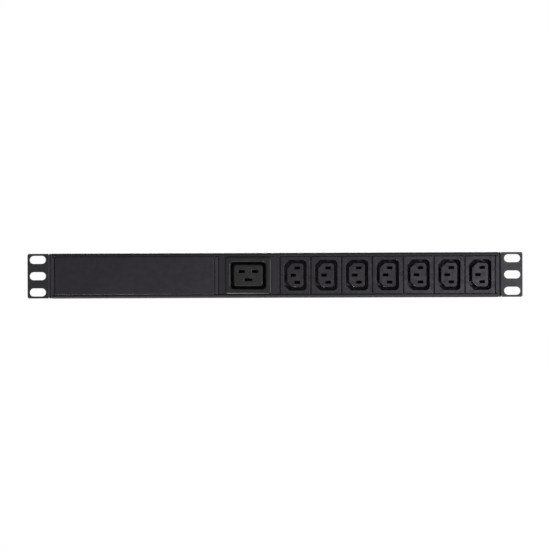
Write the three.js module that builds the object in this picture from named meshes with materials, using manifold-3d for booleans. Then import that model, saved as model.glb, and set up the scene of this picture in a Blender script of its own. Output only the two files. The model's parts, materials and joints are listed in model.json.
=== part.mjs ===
// A 19-inch rack power strip, 1U high: an extruded aluminium channel with two steel rack ears,
// a blank cover, one 16 A outlet and seven 10 A outlets at the front, and a 16 A inlet at the back.
//
// Millimetres. X runs along the strip, Y from front to back, Z up. The origin is the centre of the
// whole part's footprint, on the surface it stands on. Inside this file every depth is measured
// back from the plane of the channel's front lips, and the root group moves it all at the end.

import * as THREE from "three";
import { mergeVertices } from "three/addons/utils/BufferGeometryUtils.js";
import Module from "manifold-3d";

const wasm = await Module();
wasm.setup();

// ---- Driving dimensions ----

const RACK_WIDTH = 482.6; // over both ears
const BODY_WIDTH = 437.4; // over both end caps
const BODY_HEIGHT = 44;
const BODY_DEPTH = 44.4; // the channel, lip plane to rear wall
const MID = BODY_HEIGHT / 2;
const WALL = 1.6;
const FIT = 0.3; // clearance between pieces that touch on the real object

const EDGE_RADIUS = 2; // the channel's front corners
const REAR_RADIUS = 1;
const LIP_HEIGHT = 3.2;
const LIP_CHAMFER = 0.3;
const GROOVE_DEPTH = 2.1; // behind the lips, where the modules' flanges slide
const RIB = 1.4;
const PORT = { depth: 36, fromEdge: 5.2, radius: 3.4, bore: 1.95, slit: 1.2 };

const CAP_THICK = 1.8;
const CAP_TONGUE = 1.9; // the part of the cap seen between the lips
const CAP_PLUG = 5;
const CAP_SLOPE = { x: 1.6, z: 0.9 }; // where the cap's top and bottom meet its end
const OUTLET_FACE = 36.3; // heights of the faces seen between the lips
const COVER_FACE = 37.1;
const COVER_LIFT = 0.15; // the covers sit against the upper lip
const FLANGE_HEIGHT = BODY_HEIGHT - 2 * WALL - 2 * FIT;
const FLANGE_FRONT = WALL + FIT;
const FLANGE_BACK = FLANGE_FRONT + 1.5;

const EAR = { thick: 1.6, height: 43.6, setback: 0.4, bend: 0.3, flangeBack: 42, corner: 1.8 };
const EAR_GAP = 0.2;
const EAR_RELIEF = { x: 2, z: 0.9 }; // notched out of both ends of the fold
const SLOT = { length: 15.8, width: 7.8, fromEdge: 10, pitch: 15.875 };

const PITCH = 30; // one 10 A module
const C13_COUNT = 7;
const C19_MODULE = 60;
const SPACER = 3.4;
const OUTLET_GAP = 1.4; // seen between neighbouring faces
const COVER_GAP = 0.5;

// Outlet outlines: half sizes, the left corners' chamfer, and the right corners' radius.
const C13_MOUTH = { x: 10.9, z: 14.95, chamfer: 5.2, radius: 3.6 };
const C13_ISLAND = { x: 7.8, z: 11.7, chamfer: 5, radius: 3 };
const C13_PIN = { width: 4, height: 2, across: 7, offset: 2 };
const C13_SLOT = { width: 5.5, earthWidth: 5.5, height: 2.9 };
const C19_MOUTH = { x: 17.3, z: 13.2, radius: 3.4 };
const C19_ISLAND = { x: 14.05, z: 10.5, radius: 2.6 };
const C19_PIN = { width: 5.6, height: 2, across: 6.5, offset: 4 };
const C19_SLOT = { width: 6.1, earthWidth: 7.6, height: 2.6 };
const C19_BEZEL = { width: 43.8, height: 35.6, proud: 0.9, radius: 2, shift: -0.9 };
const C19_EDGE = { bezel: 0.6, mouth: 0.8, island: 0.8, slot: 0.5 }; // chamfers
const C13_EDGE = { plate: 0.3, mouth: 0.12, island: 0.3 };
const COVER_EDGE = 0.5;
const SHEET_EDGE = 0.25;
const INLET_EDGE = 0.4;

// Depths of the groove that takes the plug's shroud, of the body, and of the cover behind it.
const C13_DEPTH = { floor: 17, back: 20, cover: 31 };
const C19_DEPTH = { floor: 20, back: 23, cover: 32 };
const C19_TAB = { width: 7, front: 25.5, back: 35 };
const SLOT_LIP = 3; // front wall of the island, before the contact pocket
const LEAF = 0.5; // thickness of a contact's spring leaf
const CLIP_FRONT = 9;

const INLET = { x: -140, flangeX: 50, flangeZ: 32, flange: 2, cavityX: 28.2, cavityZ: 22 };
INLET.wall = 1.8;
INLET.cavityDepth = 21;
INLET.floor = 4;
INLET.screwSpacing = 40;

const WIRE_RADIUS = 1.4;
const BUSBAR = { front: 22.5, back: 27.5, thick: 0.8, leftEnd: 1 };
const BOND = { x: -175, head: 3.8, headHeight: 2, shank: 1.95 };

// ---- Places along the strip ----

const OPENING = BODY_WIDTH / 2 - CAP_THICK - CAP_TONGUE; // half the run between the caps' tongues
const C13_LEFT = OPENING - C13_COUNT * PITCH;
const C19_LEFT = C13_LEFT - C19_MODULE;
const SPACER_LEFT = C19_LEFT - SPACER;
const C19_X = C19_LEFT + C19_MODULE / 2 + C19_BEZEL.shift;
const c13X = (index) => C13_LEFT + PITCH * (index + 0.5);

// ---- Materials ----

const material = (color, roughness, metalness = 0) =>
  new THREE.MeshStandardMaterial({ color, roughness, metalness });
const MATERIALS = {
  channel: material(0x1c1c1f, 0.5, 0.6),
  ear: material(0x1d1d1f, 0.55, 0.2),
  plastic: material(0x232327, 0.45),
  cover: material(0x1e1c20, 0.65),
  screw: material(0x26262a, 0.35, 0.8),
  brass: material(0xb08d45, 0.35, 1),
  nickel: material(0xa9a9ad, 0.3, 1),
  brown: material(0x5a2f1c, 0.5),
  blue: material(0x2346a0, 0.5),
  green: material(0x3e8a35, 0.5),
};

// ---- Solid helpers ----

function toSolid(geometry) {
  const bare = new THREE.BufferGeometry();
  const source = geometry.index ? geometry.toNonIndexed() : geometry;
  bare.setAttribute("position", source.getAttribute("position"));
  const merged = mergeVertices(bare, 1e-4);
  const mesh = new wasm.Mesh({
    numProp: 3,
    vertProperties: new Float32Array(merged.attributes.position.array),
    triVerts: new Uint32Array(merged.index.array),
  });
  return new wasm.Manifold(mesh);
}

function toGeometry(solid) {
  const mesh = solid.getMesh();
  const geometry = new THREE.BufferGeometry();
  const positions = new Float32Array(mesh.numVert * 3);
  for (let i = 0; i < mesh.numVert; i++) {
    const start = i * mesh.numProp;
    positions.set(mesh.vertProperties.subarray(start, start + 3), i * 3);
  }
  geometry.setAttribute("position", new THREE.BufferAttribute(positions, 3));
  geometry.setIndex(new THREE.BufferAttribute(mesh.triVerts, 1));
  const flat = geometry.toNonIndexed();
  flat.computeVertexNormals();
  return flat;
}

const joined = (...solids) => solids.reduce((all, solid) => all.add(solid));
const without = (solid, ...cutters) => cutters.reduce((left, cut) => left.subtract(cut), solid);

// A shape drawn in X and Z, as a solid from the depth `front` to the depth `back`.
function plate(shape, front, back, curveSegments = 2) {
  const options = { depth: back - front, bevelEnabled: false, curveSegments };
  const geometry = new THREE.ExtrudeGeometry(shape, options);
  geometry.rotateX(Math.PI / 2);
  geometry.translate(0, back, 0);
  return toSolid(geometry);
}

// The same, with a chamfer of the given size round both ends.
function chamferedPlate(shape, front, back, chamfer, curveSegments = 2) {
  const options = {
    depth: back - front - 2 * chamfer,
    bevelThickness: chamfer,
    bevelSize: chamfer,
    bevelOffset: -chamfer,
    bevelSegments: 1,
    curveSegments,
  };
  const geometry = new THREE.ExtrudeGeometry(shape, options);
  geometry.rotateX(Math.PI / 2);
  geometry.translate(0, back - chamfer, 0);
  return toSolid(geometry);
}

// Turns a shape's own X and Y into the object's Y and Z, and its thickness into X.
const Y_AND_Z_TO_X = new THREE.Matrix4().makeBasis(
  new THREE.Vector3(0, 1, 0),
  new THREE.Vector3(0, 0, 1),
  new THREE.Vector3(1, 0, 0),
);

// A shape drawn in Y and Z, as a solid from `left` to `right`.
function bar(shape, left, right, curveSegments = 2) {
  const options = { depth: right - left, bevelEnabled: false, curveSegments };
  const geometry = new THREE.ExtrudeGeometry(shape, options);
  geometry.applyMatrix4(Y_AND_Z_TO_X);
  geometry.translate(left, 0, 0);
  return toSolid(geometry);
}

function box(left, right, front, back, bottom, top) {
  const geometry = new THREE.BoxGeometry(right - left, back - front, top - bottom);
  geometry.translate((left + right) / 2, (front + back) / 2, (bottom + top) / 2);
  return toSolid(geometry);
}

// A round rod or, with two radii, a cone along Y, from the depth `front` to `back`.
function rodY(x, z, radiusFront, radiusBack, front, back, sides = 16) {
  const geometry = new THREE.CylinderGeometry(radiusBack, radiusFront, back - front, sides);
  geometry.translate(x, (front + back) / 2, z);
  return toSolid(geometry);
}

// A round rod along X at a depth and a height.
function rodX(depth, height, radius, left, right, sides = 16) {
  const geometry = new THREE.CylinderGeometry(radius, radius, right - left, sides);
  geometry.rotateZ(Math.PI / 2);
  geometry.translate((left + right) / 2, depth, height);
  return toSolid(geometry);
}

function roundedRectangle(halfX, halfZ, radius, centreX = 0, centreZ = 0) {
  const shape = new THREE.Shape();
  const [right, top] = [halfX - radius, halfZ - radius];
  shape.absarc(centreX + right, centreZ + top, radius, 0, Math.PI / 2);
  shape.absarc(centreX - right, centreZ + top, radius, Math.PI / 2, Math.PI);
  shape.absarc(centreX - right, centreZ - top, radius, Math.PI, 1.5 * Math.PI);
  shape.absarc(centreX + right, centreZ - top, radius, 1.5 * Math.PI, 2 * Math.PI);
  shape.closePath();
  return shape;
}

// The 10 A outlet's outline: chamfered corners on the left, round ones on the right.
function chamferedOutline(size, grow = 0, centreZ = MID) {
  const [x, z, radius] = [size.x + grow, size.z + grow, size.radius + grow];
  const chamfer = size.chamfer + grow * (2 - Math.SQRT2);
  const shape = new THREE.Shape();
  shape.moveTo(-x, centreZ - z + chamfer);
  shape.lineTo(-x + chamfer, centreZ - z);
  shape.absarc(x - radius, centreZ - z + radius, radius, -Math.PI / 2, 0);
  shape.absarc(x - radius, centreZ + z - radius, radius, 0, Math.PI / 2);
  shape.lineTo(-x + chamfer, centreZ + z);
  shape.lineTo(-x, centreZ + z - chamfer);
  shape.closePath();
  return shape;
}

function rectangle(left, right, bottom, top) {
  const shape = new THREE.Shape();
  shape.moveTo(left, bottom);
  shape.lineTo(right, bottom);
  shape.lineTo(right, top);
  shape.lineTo(left, top);
  shape.closePath();
  return shape;
}

const part = new THREE.Group();

function place(name, solid, finish, parent = part) {
  const mesh = new THREE.Mesh(toGeometry(solid), finish);
  mesh.name = name;
  parent.add(mesh);
  return mesh;
}

// ---- Channel ----

// The channel's cross-section in Y and Z: a C, open at the front between two lips,
// with a groove behind each lip for the modules' flanges.
function channelSection() {
  const shape = new THREE.Shape();
  const [low, high] = [0, BODY_HEIGHT];
  shape.moveTo(LIP_CHAMFER, LIP_HEIGHT);
  shape.lineTo(0, LIP_HEIGHT - LIP_CHAMFER);
  shape.absarc(EDGE_RADIUS, low + EDGE_RADIUS, EDGE_RADIUS, Math.PI, 1.5 * Math.PI);
  shape.absarc(BODY_DEPTH - REAR_RADIUS, low + REAR_RADIUS, REAR_RADIUS, -Math.PI / 2, 0);
  shape.absarc(BODY_DEPTH - REAR_RADIUS, high - REAR_RADIUS, REAR_RADIUS, 0, Math.PI / 2);
  shape.absarc(EDGE_RADIUS, high - EDGE_RADIUS, EDGE_RADIUS, Math.PI / 2, Math.PI);
  shape.lineTo(0, high - LIP_HEIGHT + LIP_CHAMFER);
  shape.lineTo(LIP_CHAMFER, high - LIP_HEIGHT);
  const ribFront = WALL + GROOVE_DEPTH;
  const upper = [
    [WALL, LIP_HEIGHT],
    [WALL, WALL],
    [ribFront, WALL],
    [ribFront, WALL + RIB],
    [ribFront + RIB, WALL + RIB],
    [ribFront + RIB, WALL],
    [BODY_DEPTH - WALL, WALL],
  ];
  for (const [depth, inset] of upper) shape.lineTo(depth, high - inset);
  for (const [depth, inset] of upper.slice().reverse()) shape.lineTo(depth, low + inset);
  shape.closePath();
  return shape;
}

// A screw port: a C-shaped boss on the top or bottom wall that takes the ear's screw.
function portHeights() {
  return [PORT.fromEdge, BODY_HEIGHT - PORT.fromEdge];
}

function makeChannel() {
  const end = BODY_WIDTH / 2 - CAP_THICK;
  let channel = bar(channelSection(), -end, end, 3);
  for (const height of portHeights()) {
    const wallSide = height < MID ? [WALL / 2, height] : [height, BODY_HEIGHT - WALL / 2];
    const web = [PORT.depth - PORT.radius, PORT.depth + PORT.radius];
    channel = joined(
      channel,
      rodX(PORT.depth, height, PORT.radius, -end, end),
      box(-end, end, ...web, ...wallSide),
    );
    const inward = height < MID ? [height, height + 2 * PORT.radius] : [height - 2 * PORT.radius, height];
    const slit = [PORT.depth - PORT.slit / 2, PORT.depth + PORT.slit / 2];
    channel = without(
      channel,
      rodX(PORT.depth, height, PORT.bore, -end - 1, end + 1),
      box(-end - 1, end + 1, ...slit, ...inward),
    );
  }
  const [cutX, cutZ] = [INLET.cavityX / 2 + INLET.wall + FIT, INLET.cavityZ / 2 + INLET.wall + FIT];
  const through = [BODY_DEPTH - WALL - 1, BODY_DEPTH + 1];
  channel = without(channel, plate(roundedRectangle(cutX, cutZ, 3, INLET.x, MID), ...through));
  for (const side of [-1, 1]) {
    const x = INLET.x + (side * INLET.screwSpacing) / 2;
    channel = without(channel, rodY(x, MID, 1.8, 1.8, ...through));
  }
  return without(channel, rodY(BOND.x, MID, BOND.shank + FIT, BOND.shank + FIT, ...through));
}

// ---- End caps, ears and their screws ----

// The right-hand cap; the left one is its mirror image.
function makeCap() {
  const inner = BODY_WIDTH / 2 - CAP_THICK;
  const outline = new THREE.Shape();
  outline.absarc(EDGE_RADIUS, EDGE_RADIUS, EDGE_RADIUS, Math.PI, 1.5 * Math.PI);
  outline.absarc(BODY_DEPTH - REAR_RADIUS, REAR_RADIUS, REAR_RADIUS, -Math.PI / 2, 0);
  outline.absarc(BODY_DEPTH - REAR_RADIUS, BODY_HEIGHT - REAR_RADIUS, REAR_RADIUS, 0, Math.PI / 2);
  outline.absarc(EDGE_RADIUS, BODY_HEIGHT - EDGE_RADIUS, EDGE_RADIUS, Math.PI / 2, Math.PI);
  outline.closePath();
  const frontView = new THREE.Shape();
  const end = BODY_WIDTH / 2;
  frontView.moveTo(inner, 0);
  frontView.lineTo(end - CAP_SLOPE.x, 0);
  frontView.lineTo(end, CAP_SLOPE.z);
  frontView.lineTo(end, BODY_HEIGHT - CAP_SLOPE.z);
  frontView.lineTo(end - CAP_SLOPE.x, BODY_HEIGHT);
  frontView.lineTo(inner, BODY_HEIGHT);
  frontView.closePath();
  const capPlate = bar(outline, inner + FIT / 3, end).intersect(plate(frontView, -1, BODY_DEPTH + 1));
  const face = [MID - OUTLET_FACE / 2, MID + OUTLET_FACE / 2];
  const flange = [MID - FLANGE_HEIGHT / 2, MID + FLANGE_HEIGHT / 2];
  const plug = [8, 28];
  const skirt = WALL + FIT;
  let cap = joined(
    capPlate,
    chamferedPlate(rectangle(OPENING + COVER_GAP / 2, inner + 0.5, ...face), 0, FLANGE_BACK, SHEET_EDGE),
    box(OPENING + 0.1, inner + 0.5, FLANGE_FRONT, FLANGE_BACK, ...flange),
    box(inner - CAP_PLUG, inner + 0.5, ...plug, skirt, skirt + 1.5),
    box(inner - CAP_PLUG, inner + 0.5, ...plug, BODY_HEIGHT - skirt - 1.5, BODY_HEIGHT - skirt),
  );
  for (const height of portHeights())
    cap = without(cap, rodX(PORT.depth, height, PORT.bore + FIT, inner - 1, BODY_WIDTH / 2 + 1));
  return cap;
}

// The right-hand ear: an L of folded sheet, its slots at the universal rack spacing.
function makeEar() {
  const { thick, height, setback, bend, flangeBack, corner } = EAR;
  const inner = BODY_WIDTH / 2 + EAR_GAP;
  const outer = RACK_WIDTH / 2;
  const bendX = inner + thick + bend;
  const bendY = setback + thick + bend;
  const section = new THREE.Shape();
  section.moveTo(inner, -flangeBack);
  section.lineTo(inner + thick, -flangeBack);
  section.absarc(bendX, -bendY, bend, Math.PI, Math.PI / 2, true);
  section.lineTo(outer, -setback - thick);
  section.lineTo(outer, -setback);
  section.absarc(bendX, -bendY, bend + thick, Math.PI / 2, Math.PI);
  section.closePath();
  const options = { depth: height, bevelEnabled: false, curveSegments: 3 };
  const geometry = new THREE.ExtrudeGeometry(section, options);
  geometry.rotateX(Math.PI);
  geometry.translate(0, 0, MID + height / 2);
  let ear = toSolid(geometry);

  // Round the outer corners of the ear and of its side flange.
  const reach = outer - inner + 20;
  const frontView = roundedRectangle(reach, height / 2, corner, outer - reach, MID);
  const sideView = roundedRectangle(flangeBack, height / 2, 4, 0, MID);
  ear = ear.intersect(chamferedPlate(frontView, setback, BODY_DEPTH, SHEET_EDGE, 3));
  ear = ear.intersect(bar(sideView, inner - 1, outer + 1, 3));

  for (const step of [-1, 0, 1]) {
    const z = MID + step * SLOT.pitch;
    const halfWidth = SLOT.width / 2;
    const slot = (grow) => {
      const [halfX, halfZ] = [SLOT.length / 2 + grow, halfWidth + grow];
      return roundedRectangle(halfX, halfZ, halfZ - 0.01, outer - SLOT.fromEdge, z);
    };
    ear = without(
      ear,
      plate(slot(0), setback - 1, setback + thick + 1, 6),
      chamferedPlate(slot(SHEET_EDGE), setback - 2, setback + SHEET_EDGE, SHEET_EDGE, 6),
    );
  }
  for (const z of portHeights()) ear = without(ear, rodX(PORT.depth, z, 2.3, inner - 1, inner + thick + 1));
  const fold = [inner - 1, inner + EAR_RELIEF.x, -1, setback + thick + bend + 0.6];
  const [low, high] = [MID - height / 2, MID + height / 2];
  return without(
    ear,
    box(...fold, high - EAR_RELIEF.z, high + 1),
    box(...fold, low - 1, low + EAR_RELIEF.z),
  );
}

// A pan-head screw along X with a cross recess, its head outside the right-hand ear.
function makeEarScrew(height) {
  const seat = BODY_WIDTH / 2 + EAR_GAP + EAR.thick;
  const [head, shank, length, headHeight] = [3.6, 1.65, 14, 2.2];
  const recess = { arm: 2, width: 0.8, depth: 1.2 };
  const profile = [
    [0, 0],
    [shank, 0],
    [shank, length],
    [head, length],
    [head, length + headHeight - 1],
    [head - 0.9, length + headHeight],
    [0, length + headHeight],
  ].map(([radius, along]) => new THREE.Vector2(radius, along));
  const geometry = new THREE.LatheGeometry(profile, 16);
  geometry.rotateZ(-Math.PI / 2);
  geometry.translate(seat + 0.1 - length, PORT.depth, height);
  const top = seat + 0.1 + headHeight;
  const { arm, width, depth } = recess;
  const across = box(
    top - depth, top + 1, PORT.depth - arm, PORT.depth + arm, height - width / 2, height + width / 2,
  );
  const upright = box(
    top - depth, top + 1, PORT.depth - width / 2, PORT.depth + width / 2, height - arm, height + arm,
  );
  return without(toSolid(geometry), across, upright);
}

function buildEnds() {
  const mirror = (solid) => solid.mirror([1, 0, 0]);
  const [cap, ear] = [makeCap(), makeEar()];
  place("end_cap_right", cap, MATERIALS.plastic);
  place("end_cap_left", mirror(cap), MATERIALS.plastic);
  place("rack_ear_right", ear, MATERIALS.ear);
  place("rack_ear_left", mirror(ear), MATERIALS.ear);
  for (const [label, height] of [["lower", portHeights()[0]], ["upper", portHeights()[1]]]) {
    const screw = makeEarScrew(height);
    place(`ear_screw_right_${label}`, screw, MATERIALS.screw);
    place(`ear_screw_left_${label}`, mirror(screw), MATERIALS.screw);
  }
}

// ---- Front modules ----

// A module's face between the lips, with its flange behind them.
function modulePlate({ left, right, front, height, gap, edge, lift = 0 }) {
  const face = [MID - height / 2 + lift, MID + height / 2 + lift];
  const flange = [MID - FLANGE_HEIGHT / 2, MID + FLANGE_HEIGHT / 2];
  return joined(
    chamferedPlate(rectangle(left + gap / 2, right - gap / 2, ...face), front, FLANGE_BACK, edge),
    box(left + 0.1, right - 0.1, FLANGE_FRONT, FLANGE_BACK, ...flange),
  );
}

function buildCovers() {
  const cover = { height: COVER_FACE, gap: COVER_GAP, lift: COVER_LIFT };
  const blank = modulePlate({ ...cover, left: -OPENING, right: SPACER_LEFT, front: -0.2, edge: COVER_EDGE });
  place("blank_cover", blank, MATERIALS.cover);
  const strip = { left: SPACER_LEFT, right: C19_LEFT, front: -0.1, height: OUTLET_FACE };
  const spacer = modulePlate({ ...strip, gap: COVER_GAP, edge: SHEET_EDGE });
  place("spacer_strip", spacer, MATERIALS.plastic);
  const carrier = modulePlate({ ...cover, left: C19_LEFT, right: C13_LEFT, front: 0.5, edge: SHEET_EDGE });
  const hole = box(C19_X - 18.8, C19_X + 18.8, -1, FLANGE_BACK + 1, MID - 15.3, MID + 15.3);
  place("c19_carrier", without(carrier, hole), MATERIALS.cover);
}

// Where the three contacts sit in an outlet, seen from the front.
function c13Poles() {
  const { across, offset } = C13_PIN;
  return {
    line: [offset, MID + across],
    neutral: [offset, MID - across],
    earth: [-offset, MID],
  };
}

function c19Poles() {
  const { across, offset } = C19_PIN;
  return {
    line: [-across, MID + offset],
    neutral: [across, MID + offset],
    earth: [0, MID - offset],
  };
}

const slotWidth = (slot, pole) => (pole === "earth" ? slot.earthWidth : slot.width);

// The island's slots, each with the wider pocket behind it that holds the contact.
function slotCutters(poles, slot, pin, back) {
  const halfHeight = slot.height / 2;
  const pocket = pin.width / 2 + 1.1;
  return Object.entries(poles).flatMap(([pole, [x, z]]) => {
    const halfWidth = slotWidth(slot, pole) / 2;
    return [
      box(x - halfWidth, x + halfWidth, -2, SLOT_LIP + 1, z - halfHeight, z + halfHeight),
      box(x - pocket, x + pocket, SLOT_LIP, back + 1, z - 2, z + 2),
    ];
  });
}

// A sloping lead-in round the mouth of each slot.
function slotLeadIns(poles, slot, front, lead) {
  const halfHeight = slot.height / 2 + lead;
  return Object.entries(poles).map(([pole, [x, z]]) => {
    const halfWidth = slotWidth(slot, pole) / 2 + lead;
    const mouth = rectangle(x - halfWidth, x + halfWidth, z - halfHeight, z + halfHeight);
    return chamferedPlate(mouth, front - 2, front + lead, lead);
  });
}

function makeC13Body() {
  const { floor, back } = C13_DEPTH;
  const shell = box(-13, 13, FLANGE_FRONT, back, MID - 17, MID + 17);
  const [front, edge] = [0.1, C13_EDGE];
  const rim = chamferedOutline(C13_MOUTH, edge.mouth);
  const mouth = joined(
    plate(chamferedOutline(C13_MOUTH), -1, floor, 3),
    chamferedPlate(rim, -3, front + edge.mouth, edge.mouth, 3),
  );
  const island = chamferedPlate(chamferedOutline(C13_ISLAND), front + 0.3, floor + 1, edge.island, 3);
  const face = { left: -PITCH / 2, right: PITCH / 2, front, height: OUTLET_FACE };
  const body = joined(modulePlate({ ...face, gap: OUTLET_GAP, edge: edge.plate }), shell);
  const slots = slotCutters(c13Poles(), C13_SLOT, C13_PIN, back);
  return without(joined(without(body, mouth), island), ...slots);
}

// A tray behind the outlet, open at the front, with side slots where the busbars run through.
function makeC13RearCover() {
  const front = C13_DEPTH.back + FIT;
  const back = C13_DEPTH.cover;
  const tray = box(-12.8, 12.8, front, back, MID - 16.8, MID + 16.8);
  const inside = box(-11.4, 11.4, front - 1, back - 1.4, MID - 15.4, MID + 15.4);
  const passages = Object.values(c13Poles()).map(([, z]) =>
    box(-14, 14, front - 1, BUSBAR.back + 0.6, z - 1, z + 1),
  );
  return without(tray, inside, ...passages);
}

// A spring clip, open at the front. Its two leaves lead in from a flared mouth, grip the pin from
// above and below at the throat, bow outwards again, and meet in a bridge at the back.
function clip(x, z, width, front, back) {
  const [flare, throat, bow] = [1.4, 1, 1.2];
  const inside = [
    [front, flare],
    [front + 2.5, throat],
    [front + 5, throat],
    [back - 3, bow],
    [back - 1, bow],
  ];
  const outside = [
    [back, bow + LEAF],
    [back - 3, bow + LEAF],
    [front + 5, throat + LEAF],
    [front + 2.5, throat + LEAF],
    [front, flare + LEAF],
  ];
  const shape = new THREE.Shape();
  shape.moveTo(front, z + flare);
  for (const [depth, height] of inside.slice(1)) shape.lineTo(depth, z + height);
  for (const [depth, height] of inside.slice().reverse()) shape.lineTo(depth, z - height);
  for (const [depth, height] of outside.slice().reverse()) shape.lineTo(depth, z - height);
  for (const [depth, height] of outside) shape.lineTo(depth, z + height);
  shape.closePath();
  return bar(shape, x - width / 2, x + width / 2);
}

function makeBusbar(pole) {
  const [offset, z] = c13Poles()[pole];
  const { front, back, thick, leftEnd } = BUSBAR;
  const rightEnd = c13X(C13_COUNT - 1) + 10;
  const strip = box(leftEnd, rightEnd, front, back, z - thick / 2, z + thick / 2);
  const clips = [...Array(C13_COUNT).keys()].map((index) =>
    clip(c13X(index) + offset, z, C13_PIN.width, CLIP_FRONT, front + 0.5),
  );
  return joined(strip, ...clips);
}

function buildC13Modules() {
  const [body, rearCover] = [makeC13Body(), makeC13RearCover()];
  for (let index = 0; index < C13_COUNT; index++) {
    const module = new THREE.Group();
    module.position.x = c13X(index);
    place(`c13_body_${index + 1}`, body, MATERIALS.plastic, module);
    place(`c13_rear_cover_${index + 1}`, rearCover, MATERIALS.plastic, module);
    part.add(module);
  }
  for (const pole of ["line", "neutral", "earth"])
    place(`busbar_${pole}`, makeBusbar(pole), MATERIALS.brass);
}

function makeC19Body() {
  const { width, height, proud, radius } = C19_BEZEL;
  const { floor, back } = C19_DEPTH;
  const edge = C19_EDGE;
  const rounded = ({ x, z, radius: corner }, grow = 0) =>
    roundedRectangle(x + grow, z + grow, corner + grow, 0, MID);
  const outline = roundedRectangle(width / 2, height / 2, radius, 0, MID);
  const bezel = without(
    chamferedPlate(outline, -proud, 2, edge.bezel),
    box(-width, width, 0.4, 3, 0, BODY_HEIGHT),
  );
  const shell = box(-18.5, 18.5, 0.3, back, MID - 15, MID + 15);
  const mouth = joined(
    plate(rounded(C19_MOUTH), -2, floor, 3),
    chamferedPlate(rounded(C19_MOUTH, edge.mouth), -4, edge.mouth - proud, edge.mouth, 3),
  );
  const islandFront = -0.8;
  const island = chamferedPlate(rounded(C19_ISLAND), islandFront, floor + 1.5, edge.island, 3);
  const body = joined(without(joined(bezel, shell), mouth), island);
  const slots = slotCutters(c19Poles(), C19_SLOT, C19_PIN, back);
  const leadIns = slotLeadIns(c19Poles(), C19_SLOT, islandFront, edge.slot);
  return without(body, ...slots, ...leadIns);
}

function makeC19RearCover() {
  const front = C19_DEPTH.back + FIT;
  const back = C19_DEPTH.cover;
  const tray = box(-18, 18, front, back, MID - 14.5, MID + 14.5);
  const inside = box(-16.6, 16.6, front - 1, back - 1.4, MID - 13.1, MID + 13.1);
  const exits = Object.values(c19Poles()).map(([x, z]) => {
    const half = C19_TAB.width / 2 + 0.3;
    return box(x - half, x + half, front, back + 1, z - 0.8, z + 0.8);
  });
  return without(tray, inside, ...exits);
}

function makeC19Contact([x, z]) {
  const { width, front, back } = C19_TAB;
  const tab = box(x - width / 2, x + width / 2, front, back, z - 0.4, z + 0.4);
  return joined(clip(x, z, width, CLIP_FRONT, front + 0.5), tab);
}

function buildC19Module() {
  const module = new THREE.Group();
  module.position.x = C19_X;
  place("c19_body", makeC19Body(), MATERIALS.plastic, module);
  place("c19_rear_cover", makeC19RearCover(), MATERIALS.plastic, module);
  for (const [pole, place3] of Object.entries(c19Poles()))
    place(`c19_contact_${pole}`, makeC19Contact(place3), MATERIALS.brass, module);
  part.add(module);
}

// ---- Inlet at the back, behind the blank cover ----

const INLET_BACK = BODY_DEPTH + INLET.flange;
const INLET_FLOOR_BACK = INLET_BACK - INLET.cavityDepth;
const INLET_FRONT = INLET_FLOOR_BACK - INLET.floor;
const INLET_TAB_FRONT = INLET_FRONT - 8;

function inletPoles() {
  const { across, offset } = C19_PIN;
  return {
    line: [across, MID + offset],
    neutral: [-across, MID + offset],
    earth: [0, MID - offset],
  };
}

function makeInletBody() {
  const { cavityX, cavityZ, wall, flangeX, flangeZ, screwSpacing } = INLET;
  const [halfX, halfZ] = [cavityX / 2, cavityZ / 2];
  const edge = INLET_EDGE;
  const outline = roundedRectangle(flangeX / 2, flangeZ / 2, 3, 0, MID);
  const flange = without(
    chamferedPlate(outline, BODY_DEPTH - 1, INLET_BACK, edge, 3),
    box(-flangeX, flangeX, BODY_DEPTH - 2, BODY_DEPTH + 0.05, -1, BODY_HEIGHT + 1),
  );
  const tub = plate(roundedRectangle(halfX + wall, halfZ + wall, 3, 0, MID), INLET_FRONT, BODY_DEPTH + 0.5);
  const cavity = plate(roundedRectangle(halfX, halfZ, 2.4, 0, MID), INLET_FLOOR_BACK, INLET_BACK + 1, 3);
  const rim = roundedRectangle(halfX + edge, halfZ + edge, 2.4 + edge, 0, MID);
  const lead = chamferedPlate(rim, INLET_BACK - edge, INLET_BACK + 3, edge, 3);
  let body = without(joined(flange, tub), cavity, lead);
  for (const [x, z] of Object.values(inletPoles())) {
    const [halfWidth, halfHeight] = [C19_PIN.width / 2 + 0.1, C19_PIN.height / 2 + 0.1];
    body = without(
      body,
      box(x - halfWidth, x + halfWidth, INLET_FRONT - 1, INLET_BACK, z - halfHeight, z + halfHeight),
    );
  }
  for (const side of [-1, 1]) {
    const x = (side * screwSpacing) / 2;
    body = without(
      body,
      rodY(x, MID, 1.8, 1.8, BODY_DEPTH - 1, INLET_BACK + 1),
      rodY(x, MID, 1.5, 3.3, INLET_BACK - 1.8, INLET_BACK + 0.01),
    );
  }
  return body;
}

function makeInletPin([x, z]) {
  const [halfWidth, halfHeight] = [C19_PIN.width / 2, C19_PIN.height / 2];
  return joined(
    box(x - halfWidth, x + halfWidth, INLET_FRONT - 1, INLET_BACK - 4, z - halfHeight, z + halfHeight),
    box(x - 3.5, x + 3.5, INLET_TAB_FRONT, INLET_FRONT - 0.1, z - 0.4, z + 0.4),
  );
}

// A countersunk screw, its head flush with the inlet's flange.
function makeInletScrew(x) {
  const profile = [
    [0, 0],
    [1.4, 0],
    [1.4, 6.4],
    [2.8, 7.8],
    [2.8, 8],
    [0, 8],
  ].map(([radius, along]) => new THREE.Vector2(radius, along));
  const geometry = new THREE.LatheGeometry(profile, 16);
  geometry.translate(x, INLET_BACK - 0.1 - 8, MID);
  const top = INLET_BACK - 0.1;
  return without(
    toSolid(geometry),
    box(x - 1.5, x + 1.5, top - 1, top + 1, MID - 0.35, MID + 0.35),
    box(x - 0.35, x + 0.35, top - 1, top + 1, MID - 1.5, MID + 1.5),
  );
}

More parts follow.
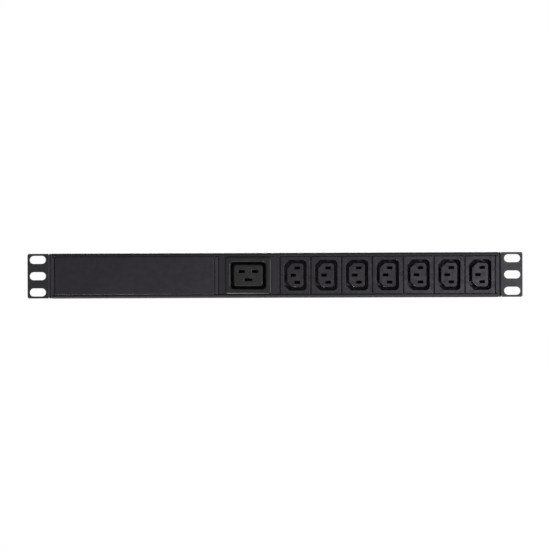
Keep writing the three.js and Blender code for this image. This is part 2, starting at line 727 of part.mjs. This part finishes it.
function makeNut(x, bore, acrossFlats, front, back) {
  const hex = rodY(x, MID, acrossFlats / Math.sqrt(3), acrossFlats / Math.sqrt(3), front, back, 6);
  return without(hex, rodY(x, MID, bore, bore, front - 1, back + 1, 12));
}

function buildInlet() {
  const inlet = new THREE.Group();
  inlet.position.x = INLET.x;
  place("inlet_body", makeInletBody(), MATERIALS.plastic, inlet);
  for (const [pole, at] of Object.entries(inletPoles()))
    place(`inlet_pin_${pole}`, makeInletPin(at), MATERIALS.nickel, inlet);
  const nutBack = BODY_DEPTH - WALL - 0.1;
  for (const [label, side] of [["left", -1], ["right", 1]]) {
    const x = (side * INLET.screwSpacing) / 2;
    place(`inlet_screw_${label}`, makeInletScrew(x), MATERIALS.screw, inlet);
    place(`inlet_nut_${label}`, makeNut(x, 1.7, 5.5, nutBack - 2.4, nutBack), MATERIALS.nickel, inlet);
  }
  part.add(inlet);
}

// ---- Earth bond between the inlet and the channel ----

function buildBond() {
  const wallFront = BODY_DEPTH - WALL;
  const ringFront = wallFront - 0.1 - 0.8;
  const { x, head, headHeight, shank } = BOND;
  const screw = joined(
    rodY(x, MID, shank, shank, wallFront - 5, BODY_DEPTH + 0.5),
    rodY(x, MID, head, head - 0.9, BODY_DEPTH + 0.05, BODY_DEPTH + headHeight),
  );
  const top = BODY_DEPTH + headHeight;
  const recess = [
    box(x - 2, x + 2, top - 1.1, top + 1, MID - 0.4, MID + 0.4),
    box(x - 0.4, x + 0.4, top - 1.1, top + 1, MID - 2, MID + 2),
  ];
  place("bond_screw", without(screw, ...recess), MATERIALS.screw);
  place("bond_nut", makeNut(x, shank + FIT, 7, ringFront - 0.1 - 3, ringFront - 0.1), MATERIALS.nickel);
  const ring = joined(
    rodY(x, MID, 4.2, 4.2, ringFront, ringFront + 0.8),
    box(x - 1.5, x + 1.5, ringFront, ringFront + 0.8, MID - 9, MID),
  );
  const hole = rodY(x, MID, shank + FIT, shank + FIT, ringFront - 1, ringFront + 2);
  place("bond_ring_terminal", without(ring, hole), MATERIALS.nickel);
}

// ---- Wiring ----

function makeWire(points, steps) {
  const path = new THREE.CatmullRomCurve3(points.map((p) => new THREE.Vector3(...p)), false, "centripetal");
  const section = new THREE.Shape();
  section.absarc(0, 0, WIRE_RADIUS, 0, 2 * Math.PI);
  const options = { extrudePath: path, steps, bevelEnabled: false, curveSegments: 4 };
  return toSolid(new THREE.ExtrudeGeometry(section, options));
}

function buildWires() {
  const inletTab = INLET_TAB_FRONT - FIT / 2;
  const c19Tab = C19_TAB.back + FIT / 2;
  const lead = 1.7; // two wires share each outlet contact's tab, this far either side of its middle
  const at = (poles, pole, originX) => [originX + poles[pole][0], poles[pole][1]];
  const finish = { line: MATERIALS.brown, neutral: MATERIALS.blue, earth: MATERIALS.green };

  // From the inlet's tabs, forward, then right and back behind the outlets.
  const feeds = {
    line: { level: 31, front: 9, rear: 39 },
    neutral: { level: 22.5, front: 7.2, rear: 39 },
    earth: { level: 14, front: 9, rear: 39 },
  };
  for (const [pole, { level, front, rear }] of Object.entries(feeds)) {
    const [x0, z0] = at(inletPoles(), pole, INLET.x);
    const [x1, z1] = at(c19Poles(), pole, C19_X);
    const middle = (z0 + level) / 2;
    const wire = makeWire(
      [
        [x0 + 1.8, inletTab, z0],
        [x0 + 1.8, inletTab - 2, z0],
        [x0 + 4.4, front, middle],
        [INLET.x + 21, front, level],
        [INLET.x + 31, front + 9, level],
        [INLET.x + 36, 29, level],
        [INLET.x + 46, rear - 1, level],
        [-60, rear, level],
        [x1 - lead - 6, rear, (level + z1) / 2],
        [x1 - lead - 1.2, rear - 1.2, z1],
        [x1 - lead, c19Tab + 1, z1],
        [x1 - lead, c19Tab, z1],
      ],
      44,
    );
    place(`feed_wire_${pole}`, wire, finish[pole]);
  }

  // From the 16 A outlet's tabs to the left ends of the busbars.
  const links = {
    line: { level: 31, rise: 2.5, rear: 39, turn: 38 },
    neutral: { level: 17, rise: -0.6, rear: 40.2, turn: 38 },
    earth: { level: 21, rise: 0.6, rear: 37, turn: 35 },
  };
  for (const [pole, { level, rise, rear, turn }] of Object.entries(links)) {
    const [x0, z0] = at(c19Poles(), pole, C19_X);
    const z1 = c13Poles()[pole][1];
    const wire = makeWire(
      [
        [x0 + lead, c19Tab, z0],
        [x0 + lead, c19Tab + 1, z0],
        [x0 + lead + 2.2, rear, z0 + rise],
        [-9, rear, level],
        [-4, turn - 4, (level + z1) / 2],
        [-3.4, 28.5, z1],
        [-1.2, 25, z1],
        [BUSBAR.leftEnd - FIT / 2, 25, z1],
      ],
      28,
    );
    place(`link_wire_${pole}`, wire, finish[pole]);
  }

  // From the inlet's earth tab to the ring terminal on the rear wall.
  const [x0, z0] = at(inletPoles(), "earth", INLET.x);
  const ringFront = BODY_DEPTH - WALL - 0.9;
  const bond = makeWire(
    [
      [x0 - 1.8, inletTab, z0],
      [x0 - 1.8, inletTab - 2, z0],
      [x0 - 5, 8.6, z0 - 2.5],
      [x0 - 18, 9, z0 - 4],
      [x0 - 27, 18, 12.5],
      [x0 - 32, 30, 10.5],
      [BOND.x, 37, 10.8],
      [BOND.x, ringFront - WIRE_RADIUS, 11.4],
    ],
    36,
  );
  place("bond_wire", bond, MATERIALS.green);
}

// ---- Assembly ----

place("housing_channel", makeChannel(), MATERIALS.channel);
buildEnds();
buildCovers();
buildC19Module();
buildC13Modules();
buildInlet();
buildBond();
buildWires();

const frontMost = -C19_BEZEL.proud;
const rearMost = BODY_DEPTH + Math.max(INLET.flange, BOND.headHeight);
part.position.y = -(frontMost + rearMost) / 2;

export default part;
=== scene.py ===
import json
import math

import bmesh
import bpy
from mathutils import Matrix, Vector

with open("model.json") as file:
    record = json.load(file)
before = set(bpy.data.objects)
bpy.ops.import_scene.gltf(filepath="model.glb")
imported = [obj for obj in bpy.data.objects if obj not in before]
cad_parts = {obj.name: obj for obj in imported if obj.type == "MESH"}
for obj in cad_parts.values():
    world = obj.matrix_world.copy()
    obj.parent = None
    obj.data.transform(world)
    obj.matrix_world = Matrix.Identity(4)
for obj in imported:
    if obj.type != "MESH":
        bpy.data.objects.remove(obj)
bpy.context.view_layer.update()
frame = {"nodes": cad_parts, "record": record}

WHITE = (1, 1, 1)

# ---- Camera, as the photograph was taken: straight on, through a long lens ----

CAMERA_DISTANCE = 1.5
CAMERA_YAW = 0.43  # degrees, towards the right-hand end
CAMERA_ROLL = -0.213  # degrees
CAMERA_AIM = (0.0001, 0.0, 0.0223)
CAMERA_REACH = (0.01, 60)  # nearest and farthest distance it sees
FRAME_WIDTH = 0.5442  # metres seen across the picture at the aim point
SENSOR = 36.0  # millimetres


def make_camera():
    data = bpy.data.cameras.new("photo_camera")
    data.sensor_width = SENSOR
    data.lens = SENSOR * CAMERA_DISTANCE / FRAME_WIDTH
    data.clip_start, data.clip_end = CAMERA_REACH
    camera = bpy.data.objects.new("photo_camera", data)
    bpy.context.scene.collection.objects.link(camera)
    yaw = math.radians(CAMERA_YAW)
    back = Vector((math.sin(yaw), -math.cos(yaw), 0))
    turn = (-back).to_track_quat("-Z", "Y").to_matrix().to_4x4()
    roll = Matrix.Rotation(math.radians(CAMERA_ROLL), 4, "Z")
    place = Matrix.Translation(Vector(CAMERA_AIM) + back * CAMERA_DISTANCE)
    camera.matrix_world = place @ turn @ roll
    bpy.context.scene.camera = camera


# ---- Floor and backdrop: plain white, and no light falls from them on the object ----

DOME_RADIUS = 8
FLOOR_RADIUS = 7.9
FLOOR_DROP = 0.0004  # keeps the floor clear of the underside


def new_material(name):
    material = bpy.data.materials.new(name)
    material.use_nodes = True
    tree = material.node_tree
    tree.nodes.clear()
    return material, tree


def glowing_white(name):
    material, tree = new_material(name)
    emission = tree.nodes.new("ShaderNodeEmission")
    emission.inputs["Color"].default_value = (*WHITE, 1)
    emission.inputs["Strength"].default_value = 1.0
    output = tree.nodes.new("ShaderNodeOutputMaterial")
    tree.links.new(emission.outputs[0], output.inputs["Surface"])
    return material


def stage_object(name, shape, material):
    mesh = bpy.data.meshes.new(name)
    shape.to_mesh(mesh)
    shape.free()
    mesh.materials.append(material)
    piece = bpy.data.objects.new(name, mesh)
    bpy.context.scene.collection.objects.link(piece)
    piece.visible_diffuse = False
    piece.visible_glossy = False
    piece.visible_transmission = False
    piece.visible_shadow = False
    return piece


def make_stage():
    white = glowing_white("studio_white")
    disc = bmesh.new()
    bmesh.ops.create_circle(disc, cap_ends=True, segments=96, radius=FLOOR_RADIUS)
    stage_object("studio_floor", disc, white).location.z = -FLOOR_DROP
    dome = bmesh.new()
    bmesh.ops.create_uvsphere(dome, u_segments=64, v_segments=32, radius=DOME_RADIUS)
    stage_object("studio_dome", dome, white)


# ---- Light: a low even level, and five softboxes ----

AMBIENT_LEVEL = 0.13
AMBIENT_COLOUR = (1.0, 0.985, 0.99)
COOL = (0.9, 0.88, 1.0)
WARM = (1.0, 0.96, 0.94)
SOFTBOXES = {  # place, the point it faces, width and height, watts, colour
    "right": ((1.25, -0.12, -0.1), (0.1, 0, 0.02), (0.9, 0.6), 9, COOL),
    "below": ((-0.2, 0.04, -1.0), (-0.1, -0.02, 0.02), (0.8, 0.12), 10, WHITE),
    "sheen": ((0.7, -1.4, -0.4), (0.2, 0, 0.02), (0.22, 0.12), 14.2, COOL),
    "left": ((-0.35, -0.4, -0.45), (-0.12, 0, 0.02), (0.4, 0.2), 1.1, WARM),
    "back": ((0.3, 1.4, 0.9), (0, 0, 0.02), (1.4, 0.8), 50, WHITE),
}


def make_world():
    world = bpy.data.worlds.new("studio")
    world.use_nodes = True
    tree = world.node_tree
    tree.nodes.clear()
    background = tree.nodes.new("ShaderNodeBackground")
    background.inputs["Color"].default_value = (*AMBIENT_COLOUR, 1)
    background.inputs["Strength"].default_value = AMBIENT_LEVEL
    output = tree.nodes.new("ShaderNodeOutputWorld")
    tree.links.new(background.outputs[0], output.inputs["Surface"])
    bpy.context.scene.world = world


def softbox(name, position, target, size, power, colour):
    data = bpy.data.lights.new(name, "AREA")
    data.shape = "RECTANGLE"
    data.size, data.size_y = size
    data.energy = power
    data.color = colour
    lamp = bpy.data.objects.new(name, data)
    bpy.context.scene.collection.objects.link(lamp)
    lamp.location = position
    lamp.visible_camera = False
    towards = Vector(target) - Vector(position)
    lamp.rotation_mode = "QUATERNION"
    lamp.rotation_quaternion = towards.to_track_quat("-Z", "Y")


def make_lights():
    make_world()
    for name, settings in SOFTBOXES.items():
        softbox(name, *settings)


# ---- Materials: noise scales are per metre, bump heights in metres ----


class Shader:
    """A node material on one Principled shader, with object coordinates in metres."""

    def __init__(self, name, colour, roughness, metallic=0.0, tint=WHITE, gloss=0.5):
        self.material, self.tree = new_material(name)
        self.bsdf = self.node("ShaderNodeBsdfPrincipled")
        self.bsdf.inputs["Base Color"].default_value = (*colour, 1)
        self.bsdf.inputs["Roughness"].default_value = roughness
        self.bsdf.inputs["Metallic"].default_value = metallic
        self.bsdf.inputs["Specular Tint"].default_value = (*tint, 1)
        self.bsdf.inputs["Specular IOR Level"].default_value = gloss
        output = self.node("ShaderNodeOutputMaterial")
        self.link(self.bsdf.outputs[0], output.inputs["Surface"])
        self.coordinates = self.node("ShaderNodeTexCoord").outputs["Object"]

    def node(self, kind):
        return self.tree.nodes.new(kind)

    def link(self, source, target):
        self.tree.links.new(source, target)

    def noise(self, scale, stretch=(1, 1, 1), detail=3.0):
        mapping = self.node("ShaderNodeMapping")
        mapping.inputs["Scale"].default_value = stretch
        self.link(self.coordinates, mapping.inputs["Vector"])
        noise = self.node("ShaderNodeTexNoise")
        noise.inputs["Scale"].default_value = scale
        noise.inputs["Detail"].default_value = detail
        noise.inputs["Roughness"].default_value = 0.55
        self.link(mapping.outputs[0], noise.inputs["Vector"])
        return noise.outputs["Fac"]

    def ramp(self, factor, low, high, start=0.3, end=0.7):
        ramp = self.node("ShaderNodeValToRGB")
        ramp.color_ramp.elements[0].position = start
        ramp.color_ramp.elements[0].color = (*low, 1)
        ramp.color_ramp.elements[1].position = end
        ramp.color_ramp.elements[1].color = (*high, 1)
        self.link(factor, ramp.inputs["Fac"])
        return ramp.outputs["Color"]

    def spread(self, factor, low, high, start=0.3, end=0.7):
        spread = self.node("ShaderNodeMapRange")
        spread.inputs["From Min"].default_value = start
        spread.inputs["From Max"].default_value = end
        spread.inputs["To Min"].default_value = low
        spread.inputs["To Max"].default_value = high
        self.link(factor, spread.inputs["Value"])
        return spread.outputs["Result"]

    def vary_colour(self, factor, colour, darker, lighter):
        self.colour(self.ramp(factor, shade(colour, darker), shade(colour, lighter)))

    def colour(self, source):
        self.link(source, self.bsdf.inputs["Base Color"])

    def rough(self, source):
        self.link(source, self.bsdf.inputs["Roughness"])

    def bump(self, *layers):
        """Each layer is a height source with its height in metres."""
        normal = None
        for source, height in layers:
            bump = self.node("ShaderNodeBump")
            bump.inputs["Strength"].default_value = 1.0
            bump.inputs["Distance"].default_value = height
            self.link(source, bump.inputs["Height"])
            if normal is not None:
                self.link(normal, bump.inputs["Normal"])
            normal = bump.outputs["Normal"]
        self.link(normal, self.bsdf.inputs["Normal"])


def shade(colour, factor):
    return tuple(c * factor for c in colour)


MOULD_GRAIN = {"scale": 2600, "height": 0.000018}
MOULD_WAVINESS = {"scale": 24, "height": 0.00012}
COAT_GRAIN = {"scale": 1500, "height": 0.00005}
COAT_PEEL = {"scale": 420, "height": 0.00006}
DRAWN_LINES = {"scale": 900, "height": 0.00002, "stretch": (0.012, 1, 1)}  # along the channel
DRAWN_GRAIN = {"scale": 2400, "height": 0.00001}
METAL_GRAIN = {"scale": 3000, "height": 0.000008, "stretch": (1, 0.1, 1)}
WIRE_GRAIN = {"scale": 1400, "height": 0.00002}
WIRE_ROUGHNESS = {"base": 0.38, "low": 0.32, "high": 0.46}
EARTH_STRIPES = {"scale": 60, "start": 0.6, "end": 0.64}


def moulded_plastic(name, colour, roughness, tint=WHITE, gloss=0.5):
    s = Shader(name, colour, roughness, tint=tint, gloss=gloss)
    s.vary_colour(s.noise(60, detail=4), colour, 0.88, 1.14)
    s.rough(s.spread(s.noise(210, detail=5), roughness - 0.05, roughness + 0.06))
    grain = s.noise(MOULD_GRAIN["scale"], detail=2)
    waviness = s.noise(MOULD_WAVINESS["scale"], detail=1)
    s.bump((grain, MOULD_GRAIN["height"]), (waviness, MOULD_WAVINESS["height"]))
    return s.material


def powder_coat(name, colour, roughness):
    s = Shader(name, colour, roughness)
    s.vary_colour(s.noise(80, detail=4), colour, 0.85, 1.18)
    s.rough(s.spread(s.noise(300, detail=4), roughness - 0.06, roughness + 0.06))
    grain = s.noise(COAT_GRAIN["scale"], detail=2)
    peel = s.noise(COAT_PEEL["scale"], detail=2)
    s.bump((grain, COAT_GRAIN["height"]), (peel, COAT_PEEL["height"]))
    return s.material


def anodised_extrusion(name, colour, roughness):
    s = Shader(name, colour, roughness, metallic=0.25)
    lines = s.noise(DRAWN_LINES["scale"], stretch=DRAWN_LINES["stretch"])
    s.vary_colour(lines, colour, 0.8, 1.2)
    s.rough(s.spread(lines, roughness - 0.07, roughness + 0.08))
    grain = s.noise(DRAWN_GRAIN["scale"], detail=2)
    s.bump((lines, DRAWN_LINES["height"]), (grain, DRAWN_GRAIN["height"]))
    return s.material


def plated_metal(name, colour, roughness):
    s = Shader(name, colour, roughness, metallic=1.0)
    s.vary_colour(s.noise(350, detail=4), colour, 0.85, 1.1)
    s.rough(s.spread(s.noise(900), roughness - 0.08, roughness + 0.1))
    grain = s.noise(METAL_GRAIN["scale"], stretch=METAL_GRAIN["stretch"], detail=2)
    s.bump((grain, METAL_GRAIN["height"]))
    return s.material


def insulation(name, colour):
    s = Shader(name, colour, WIRE_ROUGHNESS["base"])
    s.rough(s.spread(s.noise(500), WIRE_ROUGHNESS["low"], WIRE_ROUGHNESS["high"]))
    return s


def plain_insulation(name, colour):
    s = insulation(name, colour)
    s.vary_colour(s.noise(130), colour, 0.85, 1.15)
    s.bump((s.noise(WIRE_GRAIN["scale"]), WIRE_GRAIN["height"]))
    return s.material


def striped_insulation(name, green, yellow):
    s = insulation(name, green)
    wave = s.node("ShaderNodeTexWave")
    wave.wave_type = "BANDS"
    wave.bands_direction = "DIAGONAL"
    wave.inputs["Scale"].default_value = EARTH_STRIPES["scale"]
    s.link(s.coordinates, wave.inputs["Vector"])
    edges = EARTH_STRIPES["start"], EARTH_STRIPES["end"]
    s.colour(s.ramp(wave.outputs["Fac"], green, yellow, *edges))
    return s.material


VIOLET = (1.0, 0.94, 1.0)  # tints of the gloss
OLIVE = (0.95, 0.97, 0.9)
CARRIER = "carrier_plastic"  # the large outlet's plate looks darker than the covers

FINISHES = {  # for each material slot, and for the carrier: a maker and what it is given
    "black_channel": (anodised_extrusion, "anodised_black", (0.0215, 0.019, 0.0215), 0.52),
    "black_ear": (powder_coat, "powder_coat_black", (0.0205, 0.0203, 0.0218), 0.52),
    "black_plastic": (moulded_plastic, "plastic_black", (0.025, 0.0245, 0.029), 0.6),
    "cover_plastic": (
        moulded_plastic, "plastic_cover", (0.023, 0.0202, 0.024), 0.42, VIOLET, 0.5
    ),
    CARRIER: (
        moulded_plastic, "plastic_carrier", (0.0145, 0.0133, 0.015), 0.5, VIOLET, 0.45
    ),
    "outlet_plastic": (
        moulded_plastic, "plastic_outlet", (0.0245, 0.0235, 0.0265), 0.27, VIOLET, 0.72
    ),
    "large_outlet_plastic": (
        moulded_plastic, "plastic_large_outlet", (0.0217, 0.0223, 0.0212), 0.35, OLIVE, 0.45
    ),
    "black_screw": (plated_metal, "black_zinc", (0.06, 0.06, 0.065), 0.35),
    "contact_brass": (plated_metal, "brass", (0.16, 0.12, 0.07), 0.5),
    "nickel_plate": (plated_metal, "nickel", (0.66, 0.64, 0.62), 0.25),
    "wire_brown": (plain_insulation, "insulation_brown", (0.13, 0.05, 0.022)),
    "wire_blue": (plain_insulation, "insulation_blue", (0.02, 0.09, 0.42)),
    "wire_green": (
        striped_insulation, "insulation_earth", (0.03, 0.3, 0.05), (0.75, 0.6, 0.04)
    ),
}


def make_materials():
    return {slot: make(*settings) for slot, (make, *settings) in FINISHES.items()}


# ---- Finishing the CAD pieces: smooth rounded corners, crisp real edges ----

SHARP_ANGLE = 33  # degrees; facets of a rounded corner turn by less than this
WELD_DISTANCE = 0.000002
NORMAL_WEIGHT = 60


def crisp_edge_nodes():
    """Welds a triangulated piece and shades it smooth except across its real edges."""
    group = bpy.data.node_groups.new("crisp_edges", "GeometryNodeTree")
    for side in ("INPUT", "OUTPUT"):
        group.interface.new_socket("Geometry", in_out=side, socket_type="NodeSocketGeometry")
    start = group.nodes.new("NodeGroupInput")
    end = group.nodes.new("NodeGroupOutput")
    weld = group.nodes.new("GeometryNodeMergeByDistance")
    weld.inputs["Distance"].default_value = WELD_DISTANCE
    faces = group.nodes.new("GeometryNodeSetShadeSmooth")
    faces.domain = "FACE"
    edges = group.nodes.new("GeometryNodeSetShadeSmooth")
    edges.domain = "EDGE"
    edges.inputs["Shade Smooth"].default_value = False
    angle = group.nodes.new("GeometryNodeInputMeshEdgeAngle")
    sharp = group.nodes.new("FunctionNodeCompare")
    sharp.operation = "GREATER_THAN"
    sharp.inputs[1].default_value = math.radians(SHARP_ANGLE)
    group.links.new(start.outputs[0], weld.inputs["Geometry"])
    group.links.new(weld.outputs[0], faces.inputs["Geometry"])
    group.links.new(faces.outputs[0], edges.inputs["Geometry"])
    group.links.new(angle.outputs["Unsigned Angle"], sharp.inputs[0])
    group.links.new(sharp.outputs[0], edges.inputs["Selection"])
    group.links.new(edges.outputs[0], end.inputs[0])
    return group


def shade_edges(piece, group):
    if "custom_normal" in piece.data.attributes:
        piece.data.attributes.remove(piece.data.attributes["custom_normal"])
    edges = piece.modifiers.new("crisp_edges", "NODES")
    edges.node_group = group
    normals = piece.modifiers.new("normals", "WEIGHTED_NORMAL")
    normals.keep_sharp = True
    normals.weight = NORMAL_WEIGHT


def give_material(piece, material):
    piece.data.materials.clear()
    piece.data.materials.append(material)
    for face in piece.data.polygons:
        face.material_index = 0


def finish_cad_nodes():
    materials = make_materials()
    crisp = crisp_edge_nodes()
    slots = {s["node"]: s["material_slot"] for s in frame["record"]["subparts"]}
    for name, piece in frame["nodes"].items():
        slot = slots[name]
        finish = CARRIER if name == "c19_carrier" else slot
        give_material(piece, materials[finish])
        shade_edges(piece, crisp)


make_camera()
make_stage()
make_lights()
finish_cad_nodes()
bpy.context.scene.view_settings.view_transform = "Standard"
